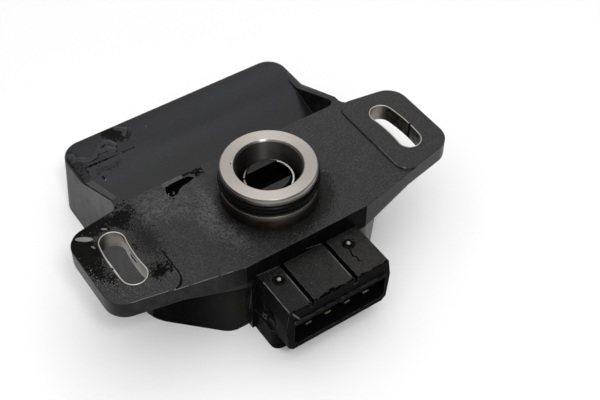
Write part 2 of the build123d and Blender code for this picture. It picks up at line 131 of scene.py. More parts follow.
class Tree:
    """Short calls for building a node tree."""

    def __init__(self, tree):
        self.tree = tree

    def fill(self, n, **inputs):
        """Puts values or links into a node's named inputs."""
        for name, value in inputs.items():
            self.put(n.inputs[name.replace("_", " ")], value)
        return n

    def node(self, kind, **inputs):
        return self.fill(self.tree.nodes.new("ShaderNode" + kind), **inputs)

    def put(self, socket, value):
        """Links a value to a socket, or sets it there."""
        if isinstance(value, bpy.types.NodeSocket):
            self.tree.links.new(value, socket)
        elif socket.type == "RGBA":
            socket.default_value = (*value, 1.0)
        else:
            socket.default_value = value

    def combine(self, kind, op, a, b):
        n = self.node(kind)
        n.operation = op
        self.put(n.inputs[0], a)
        self.put(n.inputs[1], b)
        return n.outputs

    def math(self, op, a, b=0.0):
        return self.combine("Math", op, a, b)[0]

    def vector(self, op, a, b):
        return self.combine("VectorMath", op, a, b)["Value" if op == "DOT_PRODUCT" else "Vector"]

    def step(self, value, low, high, start=0.0, end=1.0):
        """A smooth step from one value to another."""
        n = self.node("MapRange", Value=value, From_Min=low, From_Max=high, To_Min=start, To_Max=end)
        n.interpolation_type = "SMOOTHSTEP"
        return n.outputs["Result"]

    def mul(self, *parts):
        return reduce(lambda a, b: self.math("MULTIPLY", a, b), parts)

    def add(self, *parts):
        return reduce(lambda a, b: self.math("ADD", a, b), parts)

    def most(self, a, b):
        return self.math("MAXIMUM", a, b)

    def off(self, value):
        """What is left of a share."""
        return self.math("SUBTRACT", 1.0, value)

    def sway(self, value, amount):
        """Noise as a change either way."""
        return self.mul(self.math("SUBTRACT", value, 0.5), amount)


class Graph(Tree):
    """A procedural material, with places in millimetres."""

    def __init__(self, name):
        self.mat = bpy.data.materials.new(name)
        self.mat.use_nodes = True
        super().__init__(self.mat.node_tree)
        self.bsdf = self.tree.nodes["Principled BSDF"]
        local = self.node("TexCoord").outputs["Object"]
        self.place = self.vector("MULTIPLY", local, (1 / MM, 1 / MM, 1 / MM))
        self.x, self.y, self.z = self.node("SeparateXYZ", Vector=self.place).outputs
        self.true_normal = self.node("NewGeometry").outputs["True Normal"]
        turn = self.node("VectorTransform", Vector=self.true_normal)
        turn.vector_type = "NORMAL"
        turn.convert_from = "WORLD"
        turn.convert_to = "OBJECT"
        self.nx, self.ny, self.nz = self.node("SeparateXYZ", Vector=turn.outputs[0]).outputs

    def stretch(self, sx, sy, sz):
        return self.vector("MULTIPLY", self.place, (sx, sy, sz))

    def reach(self, dx, dy):
        return self.math("SQRT", self.add(self.mul(dx, dx), self.mul(dy, dy)))

    def radius(self):
        """Distance from the turning axis."""
        return self.reach(self.x, self.y)

    def polar(self, per_mm, per_turn, per_height):
        """Places measured outward, round and along the turning axis, each by its own scale."""
        round_way = self.math("ARCTAN2", self.y, self.x)
        n = self.node("CombineXYZ", X=self.mul(self.radius(), per_mm), Y=self.mul(round_way, per_turn),
                      Z=self.mul(self.z, per_height))
        return n.outputs[0]

    def noise(self, scale, detail=3.0, rough=0.6, at=None):
        n = self.node("TexNoise", Vector=at or self.place, Scale=scale, Detail=detail, Roughness=rough)
        return n.outputs["Fac"]

    def blob(self, x, y, radius, edge, wobble, scale):
        """A ragged round patch on the plan, 1 inside and 0 outside."""
        far = self.reach(self.math("SUBTRACT", self.x, x), self.math("SUBTRACT", self.y, y))
        far = self.add(self.math("DIVIDE", far, radius), self.sway(self.noise(scale, 4.0, 0.6), wobble))
        return self.step(far, 1.0 + edge / 2, 1.0 - edge / 2)

    def line(self, start, end, half, soft=0.5, axes=None):
        """A thin straight mark on the plan, or over two other axes; 1 along it and 0 away from it."""
        first, second = axes or (self.x, self.y)
        length = math.dist(start, end)
        ux = (end[0] - start[0]) / length
        uy = (end[1] - start[1]) / length
        dx = self.math("SUBTRACT", first, start[0])
        dy = self.math("SUBTRACT", second, start[1])
        along = self.add(self.mul(dx, ux), self.mul(dy, uy))
        aside = self.math("ABSOLUTE", self.add(self.mul(dx, -uy), self.mul(dy, ux)))
        inside = self.mul(self.step(along, -soft, soft), self.step(along, length + soft, length - soft))
        return self.mul(self.step(aside, half, half * 0.3), inside)

    def mix(self, share, a, b, kind="RGBA", first=6, out=2):
        """A colour between two others."""
        n = self.node("Mix", Factor=share)
        n.data_type = kind
        n.clamp_factor = True
        self.put(n.inputs[first], a)
        self.put(n.inputs[first + 1], b)
        return n.outputs[out]

    def lerp(self, share, a, b):
        """A number between two others."""
        return self.mix(share, a, b, "FLOAT", 2, 0)

    def bump(self, height, strength, depth_mm, normal=None):
        n = self.node("Bump", Strength=strength, Distance=depth_mm * MM, Height=height)
        if normal is not None:
            self.put(n.inputs["Normal"], normal)
        return n.outputs[0]

    def rounded(self, radius_mm):
        """The normal as if edges were rounded."""
        n = self.node("Bevel", Radius=radius_mm * MM)
        n.samples = 6
        return n.outputs[0]

    def edges(self, radius_mm):
        """A mask of the outer and inner edges, found by rounding the normal over a small radius."""
        same = self.vector("DOT_PRODUCT", self.rounded(radius_mm), self.true_normal)
        return self.step(self.off(same), 0.02, 0.2)

    def turned(self):
        """A tangent round the Z axis, for turned metal."""
        n = self.node("Tangent")
        n.direction_type = "RADIAL"
        n.axis = "Z"
        return n.outputs[0]

    def coat(self, share, colour):
        """Covers a share of the colour so far with another."""
        self.colour = self.mix(share, self.colour, colour)

    def finish(self, rough, relief, **more):
        """Sets the surface's inputs and gives the material; relief is what bump takes."""
        self.fill(self.bsdf, Base_Color=self.colour, Roughness=rough, Normal=self.bump(*relief), **more)
        return self.mat


# Materials
def housing_plastic(name, ior, wear_and_glints=1.0):
    """Black moulded plastic: dusty grain on the flange, smoother and bluish on the lobe, worn at the plug;
    with painted shade on the lobe, painted sheen and light on the flange and two walls, and painted glints
    and highlight lines at the plug.
    """
    g = Graph(name)
    up = g.step(g.nz, 0.6, 0.92)
    deck = g.mul(up, g.step(g.z, -1.2, -0.7))
    lobe = g.mul(up, g.step(g.y, flange_rear, flange_rear + 1.2))
    plug = g.step(g.y, block_rear, block_rear - 1.0)
    on_top = g.mul(up, plug, g.step(g.z, block_top - 0.8, block_top - 0.4))
    grain = g.noise(2.1, 4.0, 0.62)
    fine = g.noise(6.5, 2.0, 0.5)
    cloud = g.noise(0.14, 3.0, 0.55)
    drift = g.noise(0.9, at=g.stretch(0.25, 1.0, 1.0))
    scuff = g.noise(1.6)

    # Grey dust on what faces up, and stains on the walls
    share = g.mul(up, g.step(cloud, 0.25, 0.75, 0.6, 1.0),
                  g.step(g.noise(0.55), 0.3, 0.7, 0.65, 1.0), g.step(grain, 0.36, 0.66, 0.1, 1.0))
    share = g.mul(share, g.lerp(plug, 1.0, g.mul(on_top, g.step(g.x, -9.0, -6.0, 0.35, 1.0))))
    g.colour = g.mix(share, (0.0035, 0.0035, 0.0037), (0.031, 0.031, 0.0313))
    stained = 0.9 if ior > 1.1 else 0.2
    stain = g.mul(g.step(g.noise(0.4, 5.0, 0.65, at=g.stretch(1.0, 1.0, 0.5)), 0.4, 0.7), stained)
    g.coat(g.mul(g.off(up), stain), (0.02, 0.0198, 0.0192))

    # The lobe's bluish skin, with painted shade in front and along the rear edge
    g.coat(g.mul(lobe, g.step(drift, 0.2, 0.8, 0.7, 1.0)), (0.0118, 0.0129, 0.0153))
    painted_lobe_shade = g.most(g.step(g.y, 32.0, 26.0, 0.0, 0.8), g.step(g.y, 39.5, 42.5, 0.0, 0.6))
    g.coat(g.mul(lobe, painted_lobe_shade), (0.004, 0.0044, 0.0055))

    # Painted sheen on the flange left of the collar and round its foot, and painted light on two walls: the
    # lobe's left flank and the front wall under the left flange
    beside = g.step(g.x, -9.5, -12.8)
    round_foot = g.mul(g.step(g.radius(), 11.0, 12.8), g.step(g.radius(), 19.0, 14.0), beside)
    sheen = g.most(g.mul(g.line(*sheen_line, 6.5, 2.5), 0.75), round_foot)
    sheen = g.mul(deck, sheen, g.step(g.x, -28.0, -26.5))
    g.coat(g.mul(sheen, share), (0.097, 0.097, 0.0975))
    flank = g.mul(g.step(g.nx, -0.6, -0.9), g.step(g.x, -28.5, -29.2), g.step(g.z, -13.0, -6.0),
                  g.step(g.y, 14.0, 17.0), g.step(g.y, 33.0, 27.0))
    g.coat(flank, (0.04, 0.04, 0.039))
    below = g.mul(g.step(g.ny, -0.3, -0.6), g.step(g.z, flange_under, flange_under - 1.0),
                  g.step(g.x, -25.0, -17.0), g.step(g.x, -13.8, -14.6))
    g.coat(below, (0.019, 0.019, 0.0183))

    # Brownish dust on the plug, pale grit and dark pits
    dusty = g.mul(on_top, g.step(g.noise(0.5, 4.0, 0.65), 0.3, 0.7), g.step(g.x, -11.0, 6.0, 0.15, 0.85))
    g.coat(dusty, (0.024, 0.0225, 0.02))
    left = g.step(g.x, -18.0, -31.0)
    speck = g.step(g.noise(3.4, 1.0, 0.4), g.lerp(left, 0.66, 0.585), g.lerp(left, 0.73, 0.68))
    grit = g.mul(speck, g.most(deck, on_top))
    g.coat(g.mul(grit, 0.5), (0.075, 0.073, 0.07))
    pits = g.mul(g.step(g.noise(2.7, 2.0, 0.5, at=g.stretch(1.0, 1.0, 1.3)), 0.36, 0.29), up, g.off(lobe))
    g.coat(g.mul(pits, 0.8), (0.003, 0.003, 0.003))

    # Worn edges, and what stands up from the plug, with painted glints on the pips and the nib
    patchy = g.step(g.noise(0.8, 4.0, 0.65), 0.38, 0.62)
    worn = g.mul(g.edges(0.3), patchy, g.lerp(plug, 0.25 * wear_and_glints, 0.85 * wear_and_glints))
    g.coat(worn, (0.1, 0.098, 0.094))
    proud = g.mul(plug, g.step(g.z, block_top + 0.05, block_top + 0.2))
    g.coat(proud, (0.06, 0.059, 0.057))
    glint = g.mul(proud, g.add(*[g.blob(*pip, 0.38, 0.7, 0.7, 1.5) for pip in pips]))
    nib_glint = g.mul(plug, g.step(g.x, -13.4, -13.6), g.step(g.noise(2.6, 1.0, 0.5), 0.55, 0.65), 0.4)
    g.coat(g.mul(g.most(glint, nib_glint), wear_and_glints), (0.31, 0.304, 0.29))

    # Rub marks on the plug's top and front, and painted highlights along its ledge, its neck edge and the
    # right pad's step
    ahead = g.step(g.ny, -0.5, -0.8)
    rubs_and_highlights = g.mul(on_top, g.add(*[g.line(*mark, 0.15) for mark in rubs_top]))
    bar = g.line(*bar_front, 0.28, axes=(g.x, g.z))
    bar = g.mul(bar, g.step(g.y, block_front + 0.4, block_front + 0.2))
    ledge = g.add(*[g.line(*mark, 0.16, axes=(g.x, g.z)) for mark in ledge_highlights])
    ledge = g.mul(ledge, g.step(g.y, -16.0, -15.5))
    neck = g.mul(g.line(*neck_highlight, 0.17, axes=(g.y, g.z)), g.step(g.nx, -0.5, -0.8),
                 g.step(g.x, -14.6, -14.3), g.step(g.x, -13.2, -13.5))
    rubs_and_highlights = g.add(rubs_and_highlights, g.mul(ahead, g.add(bar, ledge)), neck)
    rubs_and_highlights = g.mul(g.math("MINIMUM", rubs_and_highlights, 1.0), g.step(scuff, 0.3, 0.6, 0.35, 1.0), wear_and_glints)
    g.coat(rubs_and_highlights, (0.14, 0.138, 0.132))
    pad = g.mul(deck, g.line(*pad_step_highlight, 0.17), g.step(scuff, 0.35, 0.6, 0.3, 0.9))
    g.coat(pad, (0.1, 0.099, 0.096))

    rough = g.add(g.lerp(lobe, 0.3, 0.27), g.sway(fine, 0.16), g.mul(grit, 0.25), g.mul(dusty, 0.12),
                  g.mul(worn, 0.15), g.mul(g.off(up), stain, 0.12))
    height = g.add(g.mul(grain, g.lerp(lobe, 1.0, 0.2)), g.mul(fine, g.lerp(lobe, 0.5, 0.1)))
    return g.finish(rough, (height, 1.0, 0.06, g.rounded(0.25)), IOR=ior)


def broken_shaded_plastic():
    """The matt black of a broken edge, darker still as painted shade in the cuts."""
    g = Graph("broken_shaded_plastic")
    lumps = g.noise(2.6, 4.0, 0.7)
    g.colour = g.mix(g.step(lumps, 0.5, 0.75), (0.0016, 0.0016, 0.0017), (0.009, 0.0088, 0.0084))
    return g.finish(g.lerp(lumps, 0.9, 0.6), (lumps, 0.9, 0.12), IOR=1.06)


def shade_plastic():
    """Near-black plastic for the depth of the drive slot, painted shade."""
    g = Graph("shade_plastic")
    grain = g.noise(3.2)
    g.colour = g.mix(grain, (0.0012, 0.0012, 0.0013), (0.0035, 0.0035, 0.0036))
    return g.finish(g.lerp(grain, 0.6, 0.85), (grain, 0.4, 0.03), IOR=1.05)


def grime(name, dark, brown, rough, ior=1.13):
    """Black greasy dirt, matt with wetter patches."""
    g = Graph(name)
    patch = g.noise(0.55, 4.0, 0.65)
    grain = g.noise(3.4, 4.0, 0.7)
    g.colour = g.mix(g.step(patch, 0.4, 0.7), dark, brown)
    g.coat(g.step(grain, 0.64, 0.78), (0.022, 0.021, 0.018))
    gloss = g.lerp(g.step(patch, 0.42, 0.3), rough, rough * 0.6)
    return g.finish(gloss, (grain, 0.7, 0.06), IOR=ior)


def pale_deposit_and_highlight():
    """Dried pale dirt; the same pale colour also paints highlights."""
    g = Graph("pale_deposit_and_highlight")
    spots = g.noise(2.2, 4.0, 0.6)
    g.colour = g.mix(g.step(spots, 0.35, 0.7), (0.15, 0.149, 0.145), (0.2, 0.197, 0.19))
    return g.finish(g.lerp(spots, 0.3, 0.55), (spots, 0.3, 0.03))


def collar_steel(name, wall_rough, streak, tone=1.0):
    """Turned steel: fine rings on the face, warm and bright; painted dark reflection low on the outside, dark
    oil with painted shade on the left outside, and painted shade in the bore but for a lighter stripe, a
    painted highlight.
    """
    g = Graph(name)
    face = g.step(g.nz, 0.75, 0.97)
    rings = g.noise(1.0, 3.0, 0.7, at=g.polar(9.0, 0.6, 9.0))
    hair = g.noise(1.0, 2.0, 0.6, at=g.polar(34.0, 1.6, 30.0))
    stain = g.noise(0.35, 4.0, 0.6)
    stained = g.step(stain, 0.25, 0.75, 0.8, 0.95)
    oil_and_shade = (0.055, 0.051, 0.045)
    wall = [part * tone for part in (0.36, 0.338, 0.308)]
    g.colour = g.mix(g.mul(face, g.step(stain, 0.25, 0.8, 0.75, 1.0)), wall, (0.492, 0.457, 0.417))
    cloudy = g.mul(face, g.step(g.noise(1.3), 0.42, 0.66), 0.35)
    g.coat(cloudy, (0.4, 0.366, 0.332))
    g.coat(g.mul(g.step(hair, 0.55, 0.75), 0.45), (0.34, 0.315, 0.285))

    # Dark oil with painted shade outside at the left; painted shade in the bore but for a stripe left lighter
    # as a painted highlight; and a painted dark reflection below the groove
    leftward = g.add(g.mul(g.nx, -0.996), g.mul(g.ny, 0.085))
    oily_and_shaded_left = g.mul(g.off(face), g.step(g.radius(), 8.7, 9.2), g.step(leftward, 0.68, 0.88))
    g.coat(g.mul(oily_and_shaded_left, stained), oil_and_shade)
    bore_highlight_stripe = g.step(g.add(g.mul(g.nx, -0.39), g.mul(g.ny, -0.921)), 0.8, 0.97)
    bore = g.mul(g.step(g.radius(), 7.9, 7.4), g.off(face))
    g.coat(g.mul(bore, g.off(bore_highlight_stripe), 0.5), oil_and_shade)
    low = g.mul(g.step(g.z, 3.0, 1.8), g.off(face))
    g.coat(g.mul(low, stained), (0.028, 0.0255, 0.021))
    rough = g.add(g.lerp(face, wall_rough, 0.34), g.sway(rings, 0.18), g.mul(low, 0.1))
    height = g.add(rings, g.mul(hair, 0.5))
    return g.finish(rough, (height, 0.25, 0.012), Metallic=1.0, Anisotropic=streak, Anisotropic_Rotation=0.25,
                    Tangent=g.turned())


def rubber(name, gloss):
    g = Graph(name)
    skin = g.noise(3.0)
    stain = g.noise(0.5)
    g.colour = g.mix(g.step(stain, 0.35, 0.75), (0.0015, 0.0015, 0.0016), (0.004, 0.0039, 0.0038))
    return g.finish(g.lerp(stain, gloss, gloss + 0.2), (skin, 0.35, 0.02), IOR=1.16)


def bush_steel():
    """Rolled strip: bright rim, dull brownish wall with drawing marks."""
    g = Graph("bush_steel")
    rim = g.step(g.nz, 0.25, 0.6)
    marks = g.noise(1.0, at=g.stretch(5.0, 5.0, 0.4))
    stain = g.noise(0.3)
    g.colour = g.mix(g.step(stain, 0.3, 0.7), (0.17, 0.162, 0.15), (0.25, 0.239, 0.222))
    g.coat(g.mul(g.step(marks, 0.55, 0.75), 0.3), (0.13, 0.12, 0.106))
    on_right = g.step(g.x, 30.0, 31.0)
    black = g.mul(on_right, g.step(g.nx, 0.2, -0.3), g.step(g.noise(0.9, 4.0, 0.7), 0.4, 0.6))
    g.coat(g.mul(black, 0.8), (0.02, 0.02, 0.017))
    clean = g.mul(on_right, g.step(g.ny, -0.2, -0.6))
    g.coat(g.mul(clean, 0.45), (0.42, 0.395, 0.37))
    g.coat(rim, (0.52, 0.498, 0.462))
    rough = g.add(g.lerp(rim, 0.46, 0.3), g.sway(marks, 0.2))
    return g.finish(rough, (marks, 0.3, 0.015), Metallic=1.0)


def rotor_plastic():
    g = Graph("rotor_plastic")
    grain = g.noise(3.2, 4.0, 0.65)
    scuff = g.noise(1.2, at=g.stretch(1.0, 3.0, 1.0))
    up = g.step(g.nz, 0.5, 0.9)
    g.colour = g.mix(g.mul(up, g.step(scuff, 0.3, 0.7)), (0.004, 0.004, 0.0042), (0.015, 0.015, 0.0152))
    return g.finish(g.lerp(grain, 0.38, 0.62), (grain, 0.7, 0.06), IOR=1.38)


def bright_steel(name, light, dull, rough, lines=(6.0, 6.0, 0.8), oiled=False):
    """Rolled or drawn metal with fine marks and a thin stain; painted shade darkens the drive clip but for
    its lit right side and, in part, its left, and turns it black below its top edge.
    """
    g = Graph(name)
    marks = g.noise(1.0, 3.0, 0.65, at=g.stretch(*lines))
    stain = g.noise(0.6, 4.0, 0.6)
    g.colour = g.mix(g.step(stain, 0.4, 0.75), light, dull)
    g.coat(g.mul(g.step(marks, 0.6, 0.8), 0.35), dull)
    if oiled:
        lit_side = g.mul(g.step(g.x, 0.6, 2.2), g.step(g.y, 4.9, 3.9))
        lit_side = g.most(lit_side, g.mul(g.step(g.x, -2.4, -3.8), 0.4))
        g.colour = g.mix(lit_side, (0.03, 0.028, 0.025), g.colour)
        g.coat(g.step(g.z, clip_top - 0.15, clip_top - 0.5), (0.004, 0.004, 0.004))
    return g.finish(g.add(rough, g.sway(marks, 0.2)), (marks, 0.25, 0.01), Metallic=1.0)


def terminal_metal():
    g = Graph("terminal_metal")
    tarnish = g.noise(0.8, 4.0, 0.65)
    marks = g.noise(1.0, 2.0, 0.6, at=g.stretch(7.0, 0.6, 7.0))
    g.colour = g.mix(g.step(tarnish, 0.35, 0.7), (0.12, 0.117, 0.085), (0.065, 0.062, 0.043))
    return g.finish(g.add(0.36, g.sway(marks, 0.25)), (marks, 0.3, 0.012), Metallic=1.0)


def track_ceramic():
    """A pale plate with dark printed arcs round the turning axis and silver leads at their ends."""
    g = Graph("track_ceramic")
    track_radii = (26.9, 28.3, 29.7, 31.1)
    speck = g.noise(4.0)
    g.colour = g.mix(speck, (0.66, 0.645, 0.6), (0.76, 0.745, 0.7))
    far = g.add(g.radius(), g.sway(g.noise(3.0, 2.0, 0.5), 0.12))
    ahead = g.step(g.y, 6.0, 6.5)
    tracks = g.add(*[g.mul(g.step(far, r - 0.62, r - 0.52), g.step(far, r + 0.62, r + 0.52))
                     for r in track_radii])
    tracks = g.mul(tracks, g.step(g.nz, 0.6, 0.9))
    g.coat(g.mul(tracks, ahead), (0.02, 0.02, 0.021))
    g.coat(g.mul(tracks, g.off(ahead)), (0.55, 0.54, 0.5))
    height = g.add(tracks, g.mul(speck, 0.2))
    return g.finish(g.lerp(tracks, 0.55, 0.4), (height, 0.4, 0.02))


def cover_plastic():
    g = Graph("cover_plastic")
    grain = g.noise(2.4, 4.0, 0.6)
    smear = g.noise(0.25, 4.0, 0.6, at=g.stretch(1.0, 0.35, 1.0))
    g.colour = g.mix(g.step(smear, 0.35, 0.75), (0.008, 0.008, 0.0085), (0.02, 0.0195, 0.019))
    g.coat(g.mul(g.edges(0.35), 0.5), (0.06, 0.059, 0.057))
    return g.finish(g.lerp(smear, 0.38, 0.55), (grain, 0.5, 0.02), IOR=1.42)


# Mesh helpers
def add_object(name, data):
    """A new object, linked to the scene."""
    made = bpy.data.objects.new(name, data)
    bpy.context.scene.collection.objects.link(made)
    return made


def link_piece(name, bm, mat, body=BODY, smooth=True):
    """Turns a bmesh in metres into a piece that rides on a body."""
    for f in bm.faces:
        f.smooth = smooth
    mesh = bpy.data.meshes.new(name)
    bm.to_mesh(mesh)
    bm.free()
    piece = add_object(name, mesh)
    mesh.materials.append(mat)
    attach(piece, body)
    return piece


def bridge(bm, rings, closed=False):
    """Joins rings of vertices in turn, to a closed loop or to a tube with a face on each end."""
    for here, there in zip(rings, rings[1:] + (rings[:1] if closed else [])):
        for k in range(len(here)):
            bm.faces.new((here[k - 1], there[k - 1], there[k], here[k]))
    if not closed:
        bm.faces.new(rings[0])
        bm.faces.new(rings[-1][::-1])


# Every cut gets the broken plastic, whose dark colour is partly painted shade
broken = broken_shaded_plastic()


def carve(piece, cutter_bm):
    """Cuts closed shapes, given in millimetres, out of a piece; the cut faces get the broken plastic and its
    painted shade.
    """
    bmesh.ops.scale(cutter_bm, vec=(MM, MM, MM), verts=cutter_bm.verts[:])
    bmesh.ops.recalc_face_normals(cutter_bm, faces=cutter_bm.faces[:])
    mesh = bpy.data.meshes.new("cutter")
    cutter_bm.to_mesh(mesh)
    cutter_bm.free()
    mesh.materials.append(broken)
    cutter = add_object("cutter", mesh)
    cut = piece.modifiers.new("cut", "BOOLEAN")
    cut.operation = "DIFFERENCE"
    cut.solver = "EXACT"
    cut.material_mode = "TRANSFER"
    cut.object = cutter
    bpy.context.view_layer.update()
    carved = bpy.data.meshes.new_from_object(piece.evaluated_get(bpy.context.evaluated_depsgraph_get()))
    piece.modifiers.remove(cut)
    carved.name = piece.data.name + "_cut"
    piece.data = carved
    bpy.data.objects.remove(cutter)
    bpy.data.meshes.remove(mesh)


def soft_edges(node, width_mm, mat, cuts=None):
    """A copy of a rigid node with its sharp edges bevelled, as far as short edges beside them allow."""
    same_place, flat, sharp = 0.002 * MM, math.radians(0.6), math.radians(28.0)
    bm = bmesh.new()
    bm.from_mesh(nodes[node].data)
    bmesh.ops.remove_doubles(bm, verts=bm.verts[:], dist=same_place)
    bmesh.ops.dissolve_limit(bm, angle_limit=flat, use_dissolve_boundaries=False, verts=bm.verts[:],
                             edges=bm.edges[:])
    edges = [e for e in bm.edges if len(e.link_faces) == 2 and e.calc_face_angle(0.0) > sharp]
    bmesh.ops.bevel(bm, geom=edges, offset=width_mm * MM, offset_type="OFFSET", segments=2, profile=0.5,
                    affect="EDGES", clamp_overlap=True)
    return stand_in(node, bm, mat, cuts)


def stand_in(node, bm, mat, cuts=None):
    """Links the copy of a node, with cuts and even normals, and lets it stand for that node."""
    piece = link_piece(node + "_look", bm, mat, nodes[node]["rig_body"])
    if cuts is not None:
        carve(piece, cuts)
    even = piece.modifiers.new("even", "WEIGHTED_NORMAL")
    even.keep_sharp = True
    even.weight = 100
    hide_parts(node)
    return piece


def paint_faces(piece, mat, chosen):
    """Gives the faces that a test chooses a further material."""
    piece.data.materials.append(mat)
    for f in piece.data.polygons:
        if chosen(f):
            f.material_index = len(piece.data.materials) - 1


def heading(degrees):
    """The direction on the plan at a turn from the X axis."""
    return Vector((math.cos(math.radians(degrees)), math.sin(math.radians(degrees))))


def collar_shape():
    """The collar's outline with rounded corners, turned about the Z axis."""
    rounding, around = 0.07, 192
    outline = [Vector(p) for p in collar_profile]
    points = []
    for k, here in enumerate(outline):
        into = here - outline[k - 1]
        away = outline[(k + 1) % len(outline)] - here
        start = here - into.normalized() * rounding
        end = here + away.normalized() * rounding
        points += [start, (start + end) / 4 + here / 2, end]
    bm = bmesh.new()
    rings = []
    for i in range(around):
        way = heading(360 * i / around)
        rings.append([bm.verts.new((p.x * way.x * MM, p.x * way.y * MM, p.y * MM)) for p in points])
    bridge(bm, rings, closed=True)
    bmesh.ops.recalc_face_normals(bm, faces=bm.faces[:])
    return bm


def ground_under(node):
    """A function that gives the height of a node's upper surface at a place, or None beside it."""
    mesh = nodes[node].data
    tree = BVHTree.FromPolygons([v.co / MM for v in mesh.vertices], [p.vertices[:] for p in mesh.polygons])
    above = 40.0

    def height(x, y):
        hit = tree.ray_cast(Vector((x, y, above)), -UP)[0]
        return None if hit is None else hit.z
    return height


ground = ground_under("housing")


def rough_at(x, y, scale, seed, octaves=4):
    """Smooth random relief between about -1 and 1, the same in each run."""
    return noise.fractal(Vector((x * scale + seed, y * scale - seed, seed * 0.37)), 1.0, 2.0, octaves)


def fade(value, low, high):
    """A smooth step from 0 to 1."""
    share = min(1.0, max(0.0, (value - low) / (high - low)))
    return share * share * (3 - 2 * share)


def near(x, y, path):
    """Distance on the plan from a place to a line of points."""
    best = 1e9
    here = Vector((x, y))
    for a, b in zip(path, path[1:]):
        a, b = Vector(a), Vector(b)
        along = min(1.0, max(0.0, (here - a).dot(b - a) / (b - a).length_squared))
        best = min(best, (here - a.lerp(b, along)).length)
    return best


def oval(x, y, cx, cy, rx, ry):
    """Distance from an oval's centre, 1 at its edge."""
    return math.hypot((x - cx) / rx, (y - cy) / ry)


def patches(x, y, rows):
    """The largest share of some ovals; each row is the share at the centre, the centre and two radii."""
    return max(share - oval(x, y, *place) for share, *place in rows)


def film(thick, low, high, pitch, mat, lowest=flange_low, height_at=ground):
    """A thin closed crust, named after thick(x, y), its height in mm; it shows where that is above 0."""
    sunk, foot = -0.04, -0.07
    count_x, count_y = [round((end - start) / pitch) for start, end in zip(low, high)]
    level = {}
    for i, j in product(range(count_x + 1), range(count_y + 1)):
        x = low[0] + i * pitch
        y = low[1] + j * pitch
        z = height_at(x, y)
        if z is not None and z > lowest:
            level[i, j] = (x, y, z, max(sunk, thick(x, y)))

    def around(i, j):
        return (i, j), (i + 1, j), (i + 1, j + 1), (i, j + 1)

    cells = set()
    for i, j in product(range(count_x), range(count_y)):
        ring = around(i, j)
        if all(k in level for k in ring) and max(level[k][3] for k in ring) > 0:
            cells.add((i, j))
    bm = bmesh.new()
    made = {}

    def corner(key):
        if key not in made:
            x, y, z, rise = level[key]
            made[key] = [bm.verts.new((x * MM, y * MM, (z + up) * MM)) for up in (rise, foot)]
        return made[key]

    for i, j in sorted(cells):
        ring = [corner(key) for key in around(i, j)]
        bm.faces.new([top for top, _ in ring])
        bm.faces.new([base for _, base in reversed(ring)])
        beside = ((i, j - 1), (i + 1, j), (i, j + 1), (i - 1, j))
        for k, other in enumerate(beside):
            if other not in cells:
                (top_a, foot_a), (top_b, foot_b) = ring[k], ring[(k + 1) % 4]
                bm.faces.new((top_a, foot_a, foot_b, top_b))
    link_piece(thick.__name__, bm, mat)


def crumb(bm, place, size, rng):
    """One small lump, sunk a little into what it lies on; place and size in millimetres."""
    long, flat = 1.3, 0.6
    made = bmesh.ops.create_icosphere(bm, subdivisions=1, radius=size * MM)["verts"]
    turn = rng.uniform(0, math.tau)
    for v in made:
        v.co *= rng.uniform(0.7, 1.25)
        v.co.x *= long
        v.co.z *= flat
        v.co = Matrix.Rotation(turn, 3, "Z") @ v.co + Vector(place) * MM


# Damage of the housing
def edge_wedge(bm, low, high, seed):
    """A wedge with an uneven edge that breaks the top edge of the plug's front between two places."""
    depth, drop, pitch = 0.7, 0.45, 0.28
    ahead = Vector((0, -1, 0))
    count = round((high - low) / pitch)
    rings = []
    for i in range(count + 1):
        p = Vector((low + (high - low) * i / count, block_front, block_top))
        wave = rough_at(p.x + p.y, seed, 0.45, seed, 3)
        jump = noise.cell(Vector((i * 0.37, seed, 0.5)))
        bite = max(0.05, depth * (0.3 + 0.8 * wave + 0.35 * jump))
        fall = max(0.05, drop * (0.4 + 0.6 * wave - 0.3 * jump))
        on_top = p - ahead * bite
        on_front = p - UP * fall
        lean = (on_top - on_front) * 0.6
        rings.append([bm.verts.new(c) for c in (on_top + lean, on_front - lean, p + (ahead + UP) * 0.5)])
    bridge(bm, rings)


def gouge(bm, outline, top, bottom, shrink, shift=(0.0, 0.0)):
    """A pit with an uneven floor under an outline on the plan."""
    centre = sum((Vector(p) for p in outline), Vector((0, 0))) / len(outline)
    upper, lower = [], []
    for k, p in enumerate(outline):
        inner = centre.lerp(Vector(p), shrink) + Vector(shift)
        uneven = 0.35 * rough_at(inner.x, inner.y, 0.9, 4.2 + k)
        upper.append(bm.verts.new((p[0], p[1], top)))
        lower.append(bm.verts.new((inner.x, inner.y, bottom + uneven)))
    bridge(bm, [upper, lower])


def slit(bm, path, half, top, bottom):
    """A narrow cut along a line of points, pinched at its ends."""
    points = [Vector(q) for q in path]
    last = len(points) - 1
    rings = []
    for k, here in enumerate(points):
        way = (points[min(k + 1, last)] - points[max(k - 1, 0)]).normalized()
        wide = Vector((-way.y, way.x)) * half * (0.35 if k in (0, last) else 1.0)
        corners = ((here + wide, top), (here + wide, bottom), (here - wide, bottom), (here - wide, top))
        rings.append([bm.verts.new((q.x, q.y, z)) for q, z in corners])
    bridge(bm, rings)


chip_outline = ((-18.3, 14.1), (-16.4, 14.25), (-14.0, 14.15), (-11.6, 13.95), (-10.6, 12.7), (-12.6, 12.1),
                (-14.2, 11.9), (-15.7, 11.3), (-16.9, 10.2), (-18.6, 10.1), (-19.1, 11.8))
pit_outline = ((-25.5, 30.9), (-24.9, 31.2), (-24.6, 30.6), (-24.9, 29.9), (-25.4, 30.0))
crease_outline = ((-27.4, 34.42), (-22.5, 34.36), (-18.3, 34.45), (-22.5, 34.78), (-27.4, 34.98))


